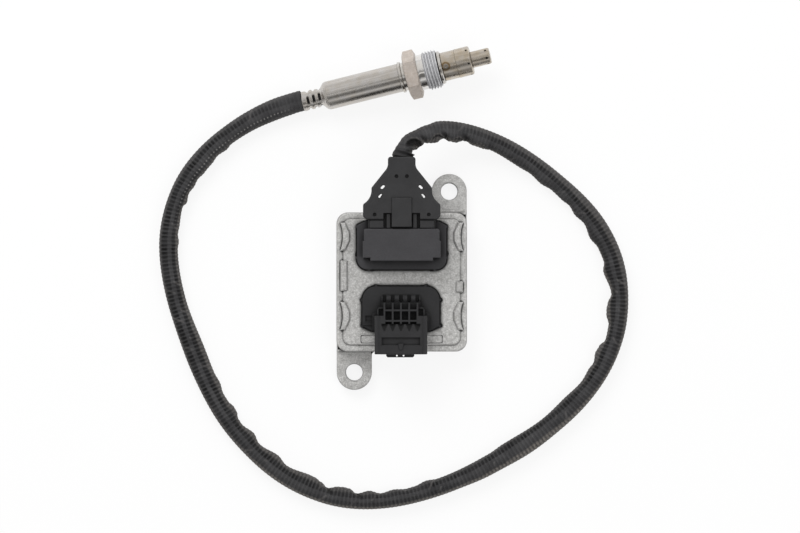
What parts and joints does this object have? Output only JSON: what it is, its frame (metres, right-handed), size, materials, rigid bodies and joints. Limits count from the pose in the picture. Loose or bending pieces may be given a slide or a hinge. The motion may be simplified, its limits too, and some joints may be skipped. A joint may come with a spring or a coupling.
{
  "type": "nitrogen oxide sensor",
  "caption": "Exhaust gas sensor: steel probe with a threaded union nut, ribbed cable sleeve and a die-cast control module with moulded connector headers.",
  "frame": {"origin": "centre of the control module's back face, which lies on the surface", "axes": "+Z out of the back face towards the headers, +Y to the side where the probe's cable leaves the module, +X to the side where the probe's tip points"},
  "size_m": [0.2391, 0.2371, 0.0332],
  "materials": {
    "cast_aluminium": "grainy die-cast surface, satin",
    "cover_sheet": "plain rolled sheet",
    "black_plastic": "moulded, fine matt texture",
    "grey_rubber": "soft seal",
    "board": "green solder resist",
    "chip_plastic": "moulded package",
    "can": "drawn can",
    "tinned": "tinned contact metal",
    "screw_steel": "zinc plated",
    "tube_steel": "drawn stainless, satin with streaks",
    "body_steel": "turned stainless",
    "nut_steel": "forged and turned, dull",
    "cap_steel": "deep drawn, slightly yellowed by heat",
    "ceramic": "sintered alumina",
    "talc": "pressed powder",
    "wire_cover": "smooth wire insulation",
    "sleeve_weave": "ribbed woven sleeve"
  },
  "bodies": {
    "sensor": {"ecu_housing": "cast_aluminium", "rear_cover": "cover_sheet", "cover_seal": "grey_rubber", "circuit_board": "board", "board_screws": "screw_steel", "microcontroller": "chip_plastic", "heater_driver": "chip_plastic", "capacitors": "can", "inductor": "chip_plastic", "sensor_header": "black_plastic", "sensor_header_pins": "tinned", "sensor_header_seal": "grey_rubber", "vehicle_header": "black_plastic", "vehicle_header_pins": "tinned", "vehicle_header_seal": "grey_rubber", "plug_housing": "black_plastic", "plug_seal": "grey_rubber", "plug_terminals": "tinned", "wire_seals": "grey_rubber", "plug_wires": "wire_cover", "backshell_top": "black_plastic", "backshell_bottom": "black_plastic", "sleeve": "sleeve_weave", "rear_tube": "tube_steel", "cable_grommet": "grey_rubber", "lead_wires": "wire_cover", "contact_carrier": "ceramic", "contact_springs": "tinned", "probe_body": "body_steel", "ceramic_bushes": "ceramic", "talc_packing": "talc", "sensing_element": "ceramic", "inner_cap": "cap_steel", "outer_cap": "cap_steel"},
    "nut": {"union_nut": "nut_steel"}
  },
  "joints": [
    {"name": "nut_spin", "type": "hinge", "parent": "sensor", "child": "nut", "pos_m": [0.01065, 0.10718, 0.01163], "axis": [0.9677, 0.2359, 0.0888], "continuous": true}
  ]
}
